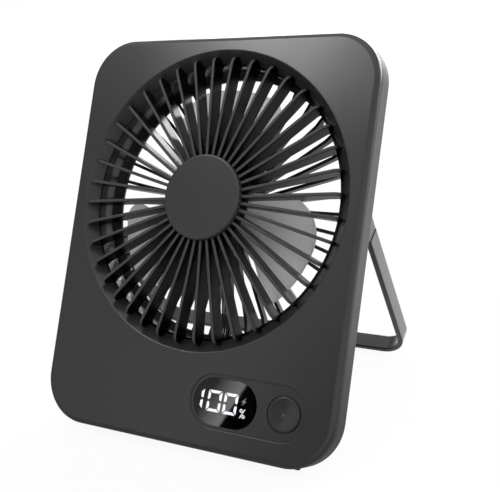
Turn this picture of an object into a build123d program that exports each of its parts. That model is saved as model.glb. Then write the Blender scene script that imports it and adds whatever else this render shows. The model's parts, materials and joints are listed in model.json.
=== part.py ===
from build123d import *
import os
from math import acos, atan2, cos, degrees, hypot, radians, sin, tan

# A slim desk fan on a folding strap, one solid or group of solids per piece.
#
# Working frame: x to the right, y up the front panel, z out of the front face, and the origin where
# the fan's axis meets that face. A depth is counted backwards from the front face. At the end every
# piece is leaned back to the angle at which the fan stands, with the floor at Z = 0.

# Case, in millimetres
CASE_WIDTH = 138.0
CHIN_HEIGHT = 32.0
CASE_CORNER_R = 20.0
CASE_DEPTH = 11.1
FRONT_WALL = 2.0
FRONT_RIM = 3.0
FRONT_EDGE_R = 2.4
PARTING_DEPTH = 2.6
PARTING_GAP = 0.3
SIDE_WALL = 1.5
REAR_WALL = 1.6
REAR_EDGE_R = 1.2
BACK_DEPTH = 17.5
BACK_EDGE_R = 2.5
BACK_TOP_LEDGE = 4.5

# Air opening and front grille
FACE_MARGIN = 6.0
BEVEL_WIDTH = 4.5
BEVEL_DEPTH = 4.5
BEVEL_EDGE_R = 0.6
EDGE_MATCH = 0.01
DUCT_WALL = 1.5
DUCT_SPLIT_DEPTH = 9.0
GRILLE_FIT = 0.1
SPOKE_COUNT = 40
SPOKE_WIDTH = 1.4
SPOKE_HEIGHT = 7.2
SPOKE_PROUD = 2.4
SPOKE_EDGE_R = 0.45
SHOULDER_R = 3.6
SPOKE_OVERHANG = 1.9
BEVEL_CLEARANCE = 0.4
RIM_WALL = 0.9
RIM_HEIGHT = 3.6
HUB_R = 17.8
HUB_STEP = 0.6
HUB_PROUD = 4.5
CAP_THICK = 2.0
CAP_EDGE_R = 0.7
DRUM_WALL = 1.5

# Rear grille
REAR_NARROWING = 3.0
REAR_LIP = 1.6
REAR_LIP_THICK = 1.2
REAR_RING_INSET = 3.0
BAR_COUNT = 40
BAR_WIDTH = 1.4
BAR_HEIGHT = 3.0
BAR_BULGE = 2.0
BAR_SHOULDER = 5.0
SEAT_R = 17.0

# Impeller and motor
BLADE_COUNT = 3
TIP_GAP = 9.5
BLADE_THICK = 1.3
BLADE_FRONT_GAP = 1.0
BLADE_REAR_GAP = 0.4
BLADE_SLANT = 1.2
BLADE_START_ANGLE = -21.0
BLADE_BACK_SWEEP = 42.0
BLADE_WAIST_SWEEP = 30.5
BLADE_ROOT_BACK_SWEEP = 37.0
BLADE_FRONT_SWEEP = 28.0
BLADE_ROOT_FRONT_SWEEP = 37.0
BLADE_SMALL_CORNER_R = 5.0
BLADE_LARGE_CORNER_R = 16.0
BLADE_OVERRUN = 1.0
BLADE_OVERRUN_ANGLE = 6.0
BLADE_ROWS = 9
BLADE_COLUMNS = 5
IMPELLER_GAP = 1.6
IMPELLER_FRONT_WALL = 1.7
IMPELLER_SKIRT_WALL = 2.6
ROTOR_R = 12.4
ROTOR_WALL = 0.8
ROTOR_LENGTH = 7.6
MAGNET_THICK = 1.4
MAGNET_LENGTH = 5.0
AIR_GAP = 0.5
STATOR_LENGTH = 3.6
STATOR_YOKE = 1.6
TOOTH_COUNT = 6
TOOTH_WIDTH = 1.8
TOOTH_TIP_LENGTH = 5.0
TOOTH_TIP_THICK = 1.0
COIL_WIDTH = 4.2
COIL_OVERHANG = 1.0
COIL_END_GAP = 0.1
COIL_SLACK = 0.04
SHAFT_R = 1.0
RUNNING_CLEARANCE = 0.03
PRESS_CLEARANCE = 0.02
BUSH_WALL = 1.5
BUSH_LENGTH = 3.0
TUBE_WALL = 1.1
MOTOR_FLANGE_R = 13.6
MOTOR_FLANGE_THICK = 1.2
MOTOR_BOARD_R = 11.8
MOTOR_BOARD_THICK = 0.8
MOTOR_BOARD_STANDOFF = 1.3
MOTOR_SCREW_COUNT = 3
MOTOR_SCREW_CIRCLE_R = 9.0
CLIP_R = 2.0
CLIP_THICK = 0.4
SHAFT_TAIL = 0.6

# Folding strap and its hinge
STRAP_WIDTH = 7.8
STRAP_THICK = 2.4
STRAP_FOOT_MARGIN = 11.3
STRAP_CORNER_R = 12.0
STRAP_EDGE_R = 0.7
STRAP_CLEARANCE = 0.3
CROSS_BAR_CLEARANCE = 0.6
STRAP_OPEN_ANGLE = 56.2
TONGUE_LENGTH = 13.5
TONGUE_STEP = 0.4
GROOVE_FLOOR = 1.0
PIN_R = 1.5
PIN_CLEARANCE = 0.05
PIN_BITE = 0.8
PIN_BOSS_R = 3.4
PIN_BOSS_LENGTH = 2.2
WASHER_R = 3.3
WASHER_THICK = 0.4
WASHER_PLAY = 0.05

# Feet
FOOT_INSET = 27.0
FOOT_LENGTH = 22.0
FOOT_FRONT_DEPTH = 8.4
FOOT_REAR_MARGIN = 0.5
FOOT_SEAT = 0.8
FOOT_STANDOFF = 0.5
FOOT_FLAT_BACK = 0.4
FOOT_CLEARANCE = 0.05

# Controls
CONTROL_HEIGHT = 20.2
RECESS_MARGIN = 1.4
RECESS_END_MARGIN = 3.0
RECESS_DEPTH = 0.5
RECESS_EDGE_R = 0.3
CONTROL_PITCH = 26.2
WINDOW_LENGTH = 28.6
WINDOW_HEIGHT = 18.8
WINDOW_THICK = 1.0
WINDOW_PROUD = 0.05
WINDOW_CLEARANCE = 0.15
TAPE_THICK = 0.15
TAPE_INSET = 0.4
MODULE_LENGTH = 24.4
MODULE_HEIGHT = 10.6
MODULE_CORNER_R = 3.0
MODULE_BODY_HEIGHT = 8.0
MODULE_BODY_INSET = 1.0
MODULE_CLEARANCE = 0.25
BUTTON_INSET = 21.5
BUTTON_R = 6.8
BUTTON_CLEARANCE = 0.45
BUTTON_SEAT_DEPTH = 1.2
BUTTON_EDGE_R = 0.4
BUTTON_DISH_R = 5.9
BUTTON_DISH_DEPTH = 0.35
BUTTON_FLANGE = 0.8
BUTTON_FLANGE_THICK = 0.6
BUTTON_NUB_R = 1.2
BUTTON_TRAVEL = 0.4
SWITCH_SIZE = 6.2
SWITCH_HEIGHT = 2.2
PLUNGER_R = 1.7
PLUNGER_PROUD = 0.6
PLUNGER_SUNK = 0.9
PLUNGER_CLEARANCE = 0.08
CONTACT_PLAY = 0.05

# Boards, power and wiring
BOARD_END = 6.1
BOARD_HEIGHT = 22.0
BOARD_THICK = 1.2
BOARD_DEPTH = 5.9
BOARD_MARGIN = 0.4
BOARD_SCREW_INSET = 3.0
USB_INSET = 21.1
USB_DROP = 11.0
USB_LENGTH = 9.0
USB_HEIGHT = 3.3
USB_WALL = 0.3
USB_TONGUE_THICK = 0.7
USB_TONGUE_MARGIN = 0.7
USB_FLOOR = 1.6
USB_SETBACK = 0.3
USB_CLEARANCE = 0.3
PLUG_WIDTH = 6.0
PLUG_LENGTH = 5.0
PLUG_HEIGHT = 4.2
PLUG_X = 4.5
PLUG_GAP = 3.0
PLUG_RUN_IN = 4.0
CHIP_LENGTH = 6.0
CHIP_WIDTH = 5.0
CHIP_THICK = 1.5
CHIP_X = 17.0
CHIP_PITCH = 8.0
INDUCTOR_SIZE = 6.0
INDUCTOR_HEIGHT = 3.0
INDUCTOR_INSET = 9.1
BATTERY_END_GAP = 2.5
BATTERY_HEIGHT = 20.0
BATTERY_THICK = 10.0
BATTERY_EDGE_R = 2.0
BATTERY_GAP = 10.0
PAD_THICK = 0.8
PAD_MARGIN = 3.0
WIRE_R = 0.45
WIRE_PITCH = 1.1
WIRE_SLOT = 0.6
ARC_SHARE = 0.45

# Screws
BOSS_R = 3.0
BOSS_END_DEPTH = 8.0
TUBE_R = 3.4
CASE_SCREW_R = 0.95
CASE_SCREW_HEAD_R = 2.3
CASE_SCREW_HEAD = 1.5
CASE_SCREW_BITE = 4.5
SCREW_SEAT = 2.0
SCREW_CLEARANCE = 0.3
TOP_SCREW_INSET = 13.5
SMALL_SCREW_R = 0.75
SMALL_HEAD_R = 1.6
SMALL_HEAD = 0.9
SMALL_BITE = 2.6
POST_R = 2.2
THREAD_CLEARANCE = 0.02
CROSS_WIDTH = 0.45
CROSS_DEPTH = 0.5
CROSS_SHARE = 1.3

# Places that follow from the sizes above
case_half = CASE_WIDTH / 2
case_height = CASE_WIDTH + CHIN_HEIGHT
case_bottom = -case_half - CHIN_HEIGHT
case_top = case_half
case_middle = (case_top + case_bottom) / 2
rear_start = PARTING_DEPTH + PARTING_GAP
bevel_r = case_half - FACE_MARGIN
duct_r = bevel_r - BEVEL_WIDTH
duct_outer = duct_r + DUCT_WALL
rear_opening_r = duct_r - REAR_NARROWING
blade_tip_r = duct_r - TIP_GAP
rim_outer = duct_r - GRILLE_FIT
rim_inner = rim_outer - RIM_WALL
spoke_rear = SPOKE_HEIGHT - SPOKE_PROUD
drum_r = HUB_R - HUB_STEP

groove_floor = rear_start + GROOVE_FLOOR
pivot_y = 0.0
strap_reach = pivot_y - case_bottom - STRAP_FOOT_MARGIN
pivot_depth = groove_floor + STRAP_CLEARANCE + STRAP_WIDTH / 2
groove_half = case_half - SIDE_WALL
stand_half = groove_half - STRAP_CLEARANCE
leg_inner = stand_half - STRAP_THICK
back_half = leg_inner - WASHER_THICK - 2 * WASHER_PLAY
back_top = case_top - BACK_TOP_LEDGE
back_bottom = pivot_y - strap_reach + STRAP_THICK + CROSS_BAR_CLEARANCE
groove_bottom = pivot_y - strap_reach - CROSS_BAR_CLEARANCE
groove_top = pivot_y + STRAP_WIDTH / 2 + STRAP_CLEARANCE
inside_half = back_half - REAR_WALL
inside_bottom = back_bottom + REAR_WALL
back_inside = BACK_DEPTH - REAR_WALL

impeller_front = spoke_rear + IMPELLER_GAP
rotor_front = impeller_front + IMPELLER_FRONT_WALL
rotor_rear = rotor_front + ROTOR_LENGTH
magnet_outer = ROTOR_R - ROTOR_WALL
magnet_inner = magnet_outer - MAGNET_THICK
stator_r = magnet_inner - AIR_GAP
magnet_middle = rotor_rear - MAGNET_LENGTH / 2
bush_outer = SHAFT_R + BUSH_WALL
tube_outer = bush_outer + TUBE_WALL
tube_front = rotor_front + ROTOR_WALL + AIR_GAP
board_front_face = rotor_rear + AIR_GAP
motor_flange_front = board_front_face + MOTOR_BOARD_THICK + MOTOR_BOARD_STANDOFF
seat_depth = motor_flange_front + MOTOR_FLANGE_THICK
rear_bush_end = seat_depth - CLIP_THICK - SHAFT_TAIL
bar_rear = seat_depth + BAR_HEIGHT

control_y = case_bottom + CONTROL_HEIGHT
button_x = case_half - BUTTON_INSET
window_x = button_x - CONTROL_PITCH
recess_left = window_x - WINDOW_LENGTH / 2 - RECESS_MARGIN
recess_right = button_x + BUTTON_R + RECESS_END_MARGIN
recess_x = (recess_left + recess_right) / 2
recess_length = recess_right - recess_left
recess_height = WINDOW_HEIGHT + 2 * RECESS_MARGIN
window_front = RECESS_DEPTH - WINDOW_PROUD
window_rear = window_front + WINDOW_THICK
tape_rear = window_rear + TAPE_THICK
button_rear = BUTTON_SEAT_DEPTH + CONTACT_PLAY
switch_front = BOARD_DEPTH - SWITCH_HEIGHT
plunger_front = switch_front - PLUNGER_PROUD

bottom_screw_x = inside_half - TUBE_R - BOARD_MARGIN
bottom_screw_y = -duct_outer - TUBE_R - BOARD_MARGIN
top_screw_x = back_half - TOP_SCREW_INSET
top_screw_y = back_top - TOP_SCREW_INSET
screw_places = [
    (side * x, y)
    for side in (-1, 1)
    for x, y in ((top_screw_x, top_screw_y), (bottom_screw_x, bottom_screw_y))
]
board_left = window_x - MODULE_LENGTH / 2 - BOARD_END
board_right = bottom_screw_x - TUBE_R - BOARD_MARGIN
board_bottom = inside_bottom + BOARD_MARGIN
board_top = board_bottom + BOARD_HEIGHT
board_rear = BOARD_DEPTH + BOARD_THICK
post_places = [
    (board_left + BOARD_SCREW_INSET, board_top - BOARD_SCREW_INSET),
    (board_right - BOARD_SCREW_INSET, board_top - BOARD_SCREW_INSET),
]
motor_plug_top = board_top - 2 * BOARD_SCREW_INSET
battery_plug_top = motor_plug_top - PLUG_LENGTH - PLUG_GAP
plug_x = board_left + PLUG_X
chip_x = board_left + CHIP_X
usb_x = board_right - USB_INSET
usb_y = board_top - USB_DROP
inductor_x = board_right - INDUCTOR_INSET
battery_left = BATTERY_END_GAP + TUBE_R - bottom_screw_x
battery_right = board_left - BATTERY_GAP
battery_middle_y = (inside_bottom - duct_outer) / 2
pad_rear = FRONT_WALL + PAD_THICK
wire_depth = board_front_face + MOTOR_BOARD_THICK + WIRE_R
wire_bend_y = 2 * WIRE_PITCH - rear_opening_r
plug_wire_depth = board_rear + PLUG_HEIGHT / 2

# A blade fills the depth between the front ribs and the motor's leads.
blade_front = spoke_rear + BLADE_FRONT_GAP
blade_rear = wire_depth - WIRE_R - BLADE_REAR_GAP
blade_middle = (blade_front + blade_rear) / 2
blade_sweep = BLADE_BACK_SWEEP + BLADE_FRONT_SWEEP
blade_rise = blade_rear - blade_front - BLADE_SLANT * BLADE_THICK

# Angle at which the fan leans back, from its feet and the open strap. The floor goes through the
# middle of each foot's flat, and touches the rounded front edge of the strap's cross bar.
foot_x = case_half - FOOT_INSET
foot_rear = CASE_DEPTH - FOOT_REAR_MARGIN
floor_y = case_bottom - FOOT_STANDOFF / 2
floor_z = -(foot_rear - FOOT_FLAT_BACK)
bar_along = STRAP_EDGE_R - strap_reach
bar_across = STRAP_WIDTH / 2 - STRAP_EDGE_R
open_cos = cos(radians(STRAP_OPEN_ANGLE))
open_sin = sin(radians(STRAP_OPEN_ANGLE))
edge_y = pivot_y + bar_along * open_cos - bar_across * open_sin
edge_z = -pivot_depth + bar_along * open_sin + bar_across * open_cos
rise = edge_y - floor_y
run = floor_z - edge_z
lean = degrees(acos(STRAP_EDGE_R / hypot(rise, run)) - atan2(run, rise))
floor_height = floor_y * cos(radians(lean)) + floor_z * sin(radians(lean))


def plate(outline, near, far):
    """A flat outline filled from depth near to depth far."""
    return extrude(Pos(0, 0, -far) * outline, amount=far - near)


def disc(radius, near, far):
    return plate(Circle(radius), near, far)


def ring(outer, inner, near, far):
    return plate(Circle(outer) - Circle(inner), near, far)


def block(x0, x1, y0, y1, near, far):
    outline = Pos((x0 + x1) / 2, (y0 + y1) / 2) * Rectangle(x1 - x0, y1 - y0)
    return plate(outline, near, far)


def turned(points):
    """A closed outline of (radius, depth) points, turned about the fan's axis."""
    outline = make_face(Polyline(*[(r, -d) for r, d in points], close=True))
    return revolve(Plane.XZ * outline, axis=Axis.Z)


def around(shape, count):
    return [Rot(0, 0, 360 / count * k) * shape for k in range(count)]


def rod(radius, x0, x1, y, depth):
    """A round bar along x."""
    return Pos((x0 + x1) / 2, y, -depth) * Rot(0, 90, 0) * Cylinder(radius, abs(x1 - x0))


def upright_rectangle(half_width, bottom, top, bottom_r, top_r):
    outline = Pos(0, (top + bottom) / 2) * Rectangle(2 * half_width, top - bottom)
    if bottom_r:
        outline = fillet(outline.vertices().group_by(Axis.Y)[0], bottom_r)
    if top_r:
        outline = fillet(outline.vertices().group_by(Axis.Y)[-1], top_r)
    return outline


def wire(points):
    """A round lead along straight runs, with the largest arcs that the runs allow."""
    corners = [Vector(*p) for p in points]
    radii = []
    for before, here, after in zip(corners, corners[1:], corners[2:]):
        turn = (here - before).get_angle(after - here)
        shorter = min((here - before).length, (after - here).length)
        radii.append(ARC_SHARE * shorter / tan(radians(turn / 2)))
    route = FilletPolyline(*corners, radius=radii)
    start = Plane(origin=corners[0], z_dir=corners[1] - corners[0])
    print("wire radii", [round(r, 1) for r in radii])
    return sweep(start * Circle(WIRE_R), path=route)


def screw(shank_r, head_r, head, bite, seat):
    """A cross-head screw driven from behind, its head's underside at depth seat."""
    body = disc(head_r, seat, seat + head)
    body = body + disc(shank_r, seat - bite, seat)
    slot = Rectangle(CROSS_SHARE * head_r, CROSS_WIDTH) + Rectangle(CROSS_WIDTH, CROSS_SHARE * head_r)
    return body - plate(slot, seat + head - CROSS_DEPTH, seat + head + CROSS_DEPTH)


def back_outline(inset):
    bottom_r = STRAP_CORNER_R - STRAP_THICK - STRAP_CLEARANCE - inset
    top_r = CASE_CORNER_R - BACK_TOP_LEDGE - inset
    return upright_rectangle(back_half - inset, back_bottom + inset, back_top - inset, bottom_r, top_r)


def case_outline(inset):
    size = (CASE_WIDTH - 2 * inset, case_height - 2 * inset, CASE_CORNER_R - inset)
    return Pos(0, case_middle) * RectangleRounded(*size)


def make_front_cover():
    shell = plate(case_outline(0), 0, PARTING_DEPTH)
    shell = fillet(shell.faces().sort_by(Axis.Z)[-1].edges(), FRONT_EDGE_R)
    shell = shell - plate(case_outline(FRONT_RIM), FRONT_WALL, PARTING_DEPTH)
    shell = shell - disc(bevel_r, 0, PARTING_DEPTH)
    bevel_slope = (bevel_r - duct_r) / BEVEL_DEPTH
    shell = shell + turned([
        (bevel_r, 0),
        (duct_r, BEVEL_DEPTH),
        (duct_r, DUCT_SPLIT_DEPTH),
        (duct_outer, DUCT_SPLIT_DEPTH),
        (duct_outer, BEVEL_DEPTH),
        (bevel_r + DUCT_WALL - bevel_slope * FRONT_WALL, FRONT_WALL),
        (bevel_r + DUCT_WALL, FRONT_WALL),
        (bevel_r + DUCT_WALL, 0),
    ])
    bevel_edge = [
        e for e in shell.edges().filter_by(GeomType.CIRCLE)
        if abs(e.radius - bevel_r) < EDGE_MATCH and abs(e.center().Z) < EDGE_MATCH
    ]
    shell = fillet(bevel_edge, BEVEL_EDGE_R)
    for x, y in screw_places:
        boss = disc(BOSS_R, FRONT_WALL, BOSS_END_DEPTH)
        shell = shell + Pos(x, y) * boss
        pilot = disc(CASE_SCREW_R + THREAD_CLEARANCE, FRONT_WALL, BOSS_END_DEPTH)
        shell = shell - Pos(x, y) * pilot
    for x, y in post_places:
        shell = shell + Pos(x, y) * disc(POST_R, FRONT_WALL, BOARD_DEPTH)
        pilot = disc(SMALL_SCREW_R + THREAD_CLEARANCE, FRONT_WALL, BOARD_DEPTH)
        shell = shell - Pos(x, y) * pilot
    recess = Pos(recess_x, control_y) * SlotOverall(recess_length, recess_height)
    shell = shell - plate(recess, 0, RECESS_DEPTH)
    rim = [
        e for e in shell.edges().filter_by_position(Axis.Z, -EDGE_MATCH, EDGE_MATCH)
        if recess_left < e.center().X < recess_right
        and abs(e.center().Y - control_y) < recess_height / 2 + EDGE_MATCH
    ]
    shell = fillet(rim, RECESS_EDGE_R)
    gap = 2 * WINDOW_CLEARANCE
    seat = Pos(window_x, control_y) * SlotOverall(WINDOW_LENGTH + gap, WINDOW_HEIGHT + gap)
    shell = shell - plate(seat, 0, tape_rear)
    shell = shell - plate(module_outline(MODULE_CLEARANCE), 0, PARTING_DEPTH)
    hole = disc(BUTTON_R + BUTTON_CLEARANCE, 0, PARTING_DEPTH)
    hole = hole + disc(BUTTON_R + BUTTON_FLANGE + BUTTON_CLEARANCE, BUTTON_SEAT_DEPTH, PARTING_DEPTH)
    return shell - Pos(button_x, control_y) * hole


def make_front_grille():
    grille = ring(rim_outer, rim_inner, BEVEL_DEPTH, BEVEL_DEPTH + RIM_HEIGHT)
    drum = disc(drum_r, CAP_THICK - HUB_PROUD, spoke_rear)
    drum = drum - disc(drum_r - DRUM_WALL, CAP_THICK - HUB_PROUD + DRUM_WALL, spoke_rear)

    # A rib stands proud of the face, ends in a round shoulder over the bevel and comes down to the rim.
    root = drum_r - DRUM_WALL / 2
    tip = duct_r + SPOKE_OVERHANG
    foot = rim_inner + RIM_WALL / 2
    foot_depth = BEVEL_DEPTH + RIM_HEIGHT / 2
    slope = BEVEL_DEPTH / BEVEL_WIDTH
    tip_under = slope * (bevel_r - tip) - BEVEL_CLEARANCE
    foot_under = slope * (bevel_r - foot) - BEVEL_CLEARANCE
    outline = make_face([
        Line((root, SPOKE_PROUD), (tip - SHOULDER_R, SPOKE_PROUD)),
        RadiusArc((tip - SHOULDER_R, SPOKE_PROUD), (tip, SPOKE_PROUD - SHOULDER_R), SHOULDER_R),
        Polyline(
            (tip, SPOKE_PROUD - SHOULDER_R),
            (tip, -tip_under),
            (foot, -foot_under),
            (foot, -foot_depth),
            (foot - foot_depth + spoke_rear, -spoke_rear),
            (root, -spoke_rear),
            (root, SPOKE_PROUD),
        ),
    ])
    spoke = extrude(Plane.XZ * outline, amount=SPOKE_WIDTH / 2, both=True)
    spoke = fillet(spoke.edges().filter_by(Axis.X).group_by(Axis.Z)[-1], SPOKE_EDGE_R)
    return grille + [drum] + around(Rot(0, 0, 180 / SPOKE_COUNT) * spoke, SPOKE_COUNT)


def make_grille_cap():
    cap = disc(HUB_R, -HUB_PROUD, CAP_THICK - HUB_PROUD)
    return fillet(cap.faces().sort_by(Axis.Z)[-1].edges(), CAP_EDGE_R)


def make_rear_cover():
    flange = plate(case_outline(0), rear_start, CASE_DEPTH)
    flange = fillet(flange.faces().sort_by(Axis.Z)[0].edges(), REAR_EDGE_R)
    back = plate(back_outline(0), rear_start, BACK_DEPTH)
    back = fillet(back.faces().sort_by(Axis.Z)[0].edges(), BACK_EDGE_R)
    shell = flange + back

    # The groove that the strap folds into runs round the raised back.
    corner = STRAP_CORNER_R + STRAP_CLEARANCE
    groove = upright_rectangle(groove_half, groove_bottom, groove_top, corner, 0) - back_outline(0)
    shell = shell - plate(groove, groove_floor, CASE_DEPTH)

    # Hollows: inside the raised back, above the hinge and below the groove.
    shell = shell - plate(back_outline(REAR_WALL), rear_start, back_inside)
    flange_inside = CASE_DEPTH - REAR_WALL
    hollow = case_outline(SIDE_WALL)
    above = Pos(0, groove_top + SIDE_WALL + case_height) * Rectangle(2 * CASE_WIDTH, 2 * case_height)
    below = Pos(0, groove_bottom - SIDE_WALL - case_height) * Rectangle(2 * CASE_WIDTH, 2 * case_height)
    shell = shell - plate(hollow & above, rear_start, flange_inside)
    shell = shell - plate(hollow & below, rear_start, flange_inside)

    # Duct collar, its opening and the passage for the motor's leads.
    collar_front = DUCT_SPLIT_DEPTH + PARTING_GAP
    shell = shell + ring(duct_outer, duct_r, collar_front, BACK_DEPTH)
    shell = shell - disc(duct_r, rear_start, BACK_DEPTH)
    shell = shell - wire_passage(back_inside)

    for x, y in screw_places:
        shell = shell + Pos(x, y) * disc(TUBE_R, BOSS_END_DEPTH, BACK_DEPTH)
        seat = BOSS_END_DEPTH + SCREW_SEAT
        shell = shell - Pos(x, y) * disc(CASE_SCREW_HEAD_R + SCREW_CLEARANCE, seat, BACK_DEPTH)
        shell = shell - Pos(x, y) * disc(CASE_SCREW_R + SCREW_CLEARANCE, BOSS_END_DEPTH, seat)
    gap = 2 * USB_CLEARANCE
    slot = Pos(usb_x, usb_y) * SlotOverall(USB_LENGTH + gap, USB_HEIGHT + gap)
    shell = shell - plate(slot, back_inside - REAR_WALL, BACK_DEPTH)

    for side in (-1, 1):
        boss_in = side * (inside_half - PIN_BOSS_LENGTH)
        shell = shell + rod(PIN_BOSS_R, boss_in, side * inside_half, pivot_y, pivot_depth)
        hole_end = side * (groove_half + PIN_BITE)
        shell = shell - rod(PIN_R + PRESS_CLEARANCE, boss_in, hole_end, pivot_y, pivot_depth)
        shell = shell - foot_blank(side, FOOT_CLEARANCE)
    return shell


def wire_passage(far):
    half = 1.5 * WIRE_PITCH + WIRE_SLOT
    low = -duct_outer - DUCT_WALL
    return block(plug_x - half, plug_x + half, low, wire_bend_y, DUCT_SPLIT_DEPTH, far)


def make_rear_grille():
    lip_far = BACK_DEPTH + REAR_LIP_THICK
    ring_front = BACK_DEPTH - REAR_RING_INSET
    grille = turned([
        (duct_r - GRILLE_FIT, ring_front),
        (rear_opening_r, BACK_DEPTH),
        (rear_opening_r, lip_far),
        (duct_outer + REAR_LIP, lip_far),
        (duct_outer + REAR_LIP, BACK_DEPTH),
        (duct_r - GRILLE_FIT, BACK_DEPTH),
    ])
    tip = rear_opening_r + DUCT_WALL / 2
    knee = rear_opening_r - BAR_SHOULDER
    outline = make_face(Polyline(
        (0, -seat_depth),
        (knee, -seat_depth),
        (tip, -BACK_DEPTH),
        (tip, -lip_far),
        (knee + BAR_BULGE, -bar_rear),
        (0, -bar_rear),
        close=True,
    ))
    bar = extrude(Plane.XZ * outline, amount=BAR_WIDTH / 2, both=True)
    seat = disc(SEAT_R, seat_depth, bar_rear)
    grille = grille + [seat] + around(bar, BAR_COUNT)
    grille = grille - disc(CLIP_R + SCREW_CLEARANCE, seat_depth, seat_depth + SHAFT_TAIL + CLIP_THICK)
    pilot = disc(SMALL_SCREW_R + THREAD_CLEARANCE, seat_depth, bar_rear - CROSS_DEPTH)
    for hole in around(Pos(MOTOR_SCREW_CIRCLE_R) * pilot, MOTOR_SCREW_COUNT):
        grille = grille - hole
    return grille - wire_passage(BACK_DEPTH)


def make_impeller():
    skirt_r = ROTOR_R + IMPELLER_SKIRT_WALL
    hub = disc(skirt_r, impeller_front, rotor_rear)
    hub = fillet(hub.faces().sort_by(Axis.Z)[-1].edges(), IMPELLER_FRONT_WALL / 2)
    hub = hub - disc(ROTOR_R + PRESS_CLEARANCE, rotor_front, rotor_rear)
    hub = hub - disc(SHAFT_R + PRESS_CLEARANCE, impeller_front, rotor_rear)
    return hub + around(Rot(0, 0, BLADE_START_ANGLE) * make_blade(), BLADE_COUNT)


def make_blade():
    """A screw surface of constant lead, thickened and cut to the blade's outline."""
    root = ROTOR_R + IMPELLER_SKIRT_WALL / 2
    sweep_angle = BLADE_BACK_SWEEP + BLADE_ROOT_FRONT_SWEEP + 2 * BLADE_OVERRUN_ANGLE
    first_angle = -BLADE_BACK_SWEEP - BLADE_OVERRUN_ANGLE
    spread = [first_angle + sweep_angle * k / (BLADE_ROWS - 1) for k in range(BLADE_ROWS)]
    reach = blade_tip_r - root + 2 * BLADE_OVERRUN
    radii = [root - BLADE_OVERRUN + reach * k / (BLADE_COLUMNS - 1) for k in range(BLADE_COLUMNS)]
    middle_angle = (BLADE_FRONT_SWEEP - BLADE_BACK_SWEEP) / 2
    grid = [
        [
            Vector(
                r * cos(radians(a)),
                r * sin(radians(a)),
                blade_rise * (a - middle_angle) / blade_sweep - blade_middle,
            )
            for r in radii
        ]
        for a in spread
    ]
    sheet = Face.make_surface_from_array_of_points(grid)
    solid = thicken(sheet, amount=BLADE_THICK / 2, both=True)
    outline = blade_outline(root)
    return solid & plate(outline, blade_front, blade_rear)


def blade_outline(root):
    def at(radius, angle):
        return (radius * cos(radians(angle)), radius * sin(radians(angle)))

    root_back = at(root, -BLADE_ROOT_BACK_SWEEP)
    waist = at((root + blade_tip_r) / 2, -BLADE_WAIST_SWEEP)
    tip_back = at(blade_tip_r, -BLADE_BACK_SWEEP)
    tip_front = at(blade_tip_r, BLADE_FRONT_SWEEP)
    root_front = at(root, BLADE_ROOT_FRONT_SWEEP)
    tip_middle = at(blade_tip_r, (BLADE_FRONT_SWEEP - BLADE_BACK_SWEEP) / 2)
    root_middle = at(root, (BLADE_ROOT_FRONT_SWEEP - BLADE_ROOT_BACK_SWEEP) / 2)
    outline = make_face([
        ThreePointArc(root_back, waist, tip_back),
        ThreePointArc(tip_back, tip_middle, tip_front),
        Line(tip_front, root_front),
        ThreePointArc(root_front, root_middle, root_back),
    ])
    tips = outline.vertices().sort_by_distance((0, 0, 0))[2:].sort_by(Axis.Y)
    outline = fillet(tips[0], BLADE_SMALL_CORNER_R)
    tip = outline.vertices().sort_by_distance((*tip_front, 0))[0]
    return fillet(tip, BLADE_LARGE_CORNER_R)


def make_rotor_can():
    can = disc(ROTOR_R, rotor_front, rotor_rear)
    can = can - disc(magnet_outer, rotor_front + ROTOR_WALL, rotor_rear)
    return can - disc(SHAFT_R + PRESS_CLEARANCE, rotor_front, rotor_rear)


def make_rotor_magnet():
    near = magnet_middle - MAGNET_LENGTH / 2
    return ring(magnet_outer - PRESS_CLEARANCE, magnet_inner, near, near + MAGNET_LENGTH)


def make_motor_shaft():
    shaft = disc(SHAFT_R, impeller_front, rear_bush_end + CLIP_THICK + SHAFT_TAIL)
    groove = ring(SHAFT_R, SHAFT_R - CLIP_THICK / 2, rear_bush_end, rear_bush_end + CLIP_THICK)
    return shaft - groove


def make_shaft_clip():
    near = rear_bush_end + RUNNING_CLEARANCE
    clip = ring(CLIP_R, SHAFT_R - CLIP_THICK / 2 + PRESS_CLEARANCE, near, rear_bush_end + CLIP_THICK)
    return clip - block(0, CLIP_R, -SHAFT_R / 2, SHAFT_R / 2, rear_bush_end, rear_bush_end + CLIP_THICK)


def make_motor_base():
    base = disc(MOTOR_FLANGE_R, motor_flange_front, seat_depth)
    base = base + disc(tube_outer, tube_front, seat_depth)
    board_step = tube_outer + TUBE_WALL
    base = base + disc(board_step, board_front_face + MOTOR_BOARD_THICK, seat_depth)
    base = base - disc(bush_outer, tube_front, seat_depth)
    hole = disc(SMALL_SCREW_R + SCREW_CLEARANCE, motor_flange_front, seat_depth)
    for cut in around(Pos(MOTOR_SCREW_CIRCLE_R) * hole, MOTOR_SCREW_COUNT):
        base = base - cut
    return base


def make_bush(near):
    return ring(bush_outer - PRESS_CLEARANCE, SHAFT_R + RUNNING_CLEARANCE, near, near + BUSH_LENGTH)


def make_stator_core():
    hole = tube_outer + PRESS_CLEARANCE
    yoke_r = hole + STATOR_YOKE
    tooth = Pos((hole + STATOR_YOKE / 2 + stator_r) / 2) * Rectangle(
        stator_r - hole - STATOR_YOKE / 2, TOOTH_WIDTH
    )
    tip_x = stator_r - TOOTH_TIP_THICK / 2 - AIR_GAP
    tip = Pos(tip_x) * Rectangle(TOOTH_TIP_THICK, TOOTH_TIP_LENGTH)
    outline = Circle(yoke_r) + around(tooth, TOOTH_COUNT) + around(tip, TOOTH_COUNT)
    outline = (outline & Circle(stator_r)) - Circle(hole)
    return plate(outline, magnet_middle - STATOR_LENGTH / 2, magnet_middle + STATOR_LENGTH / 2)


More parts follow.
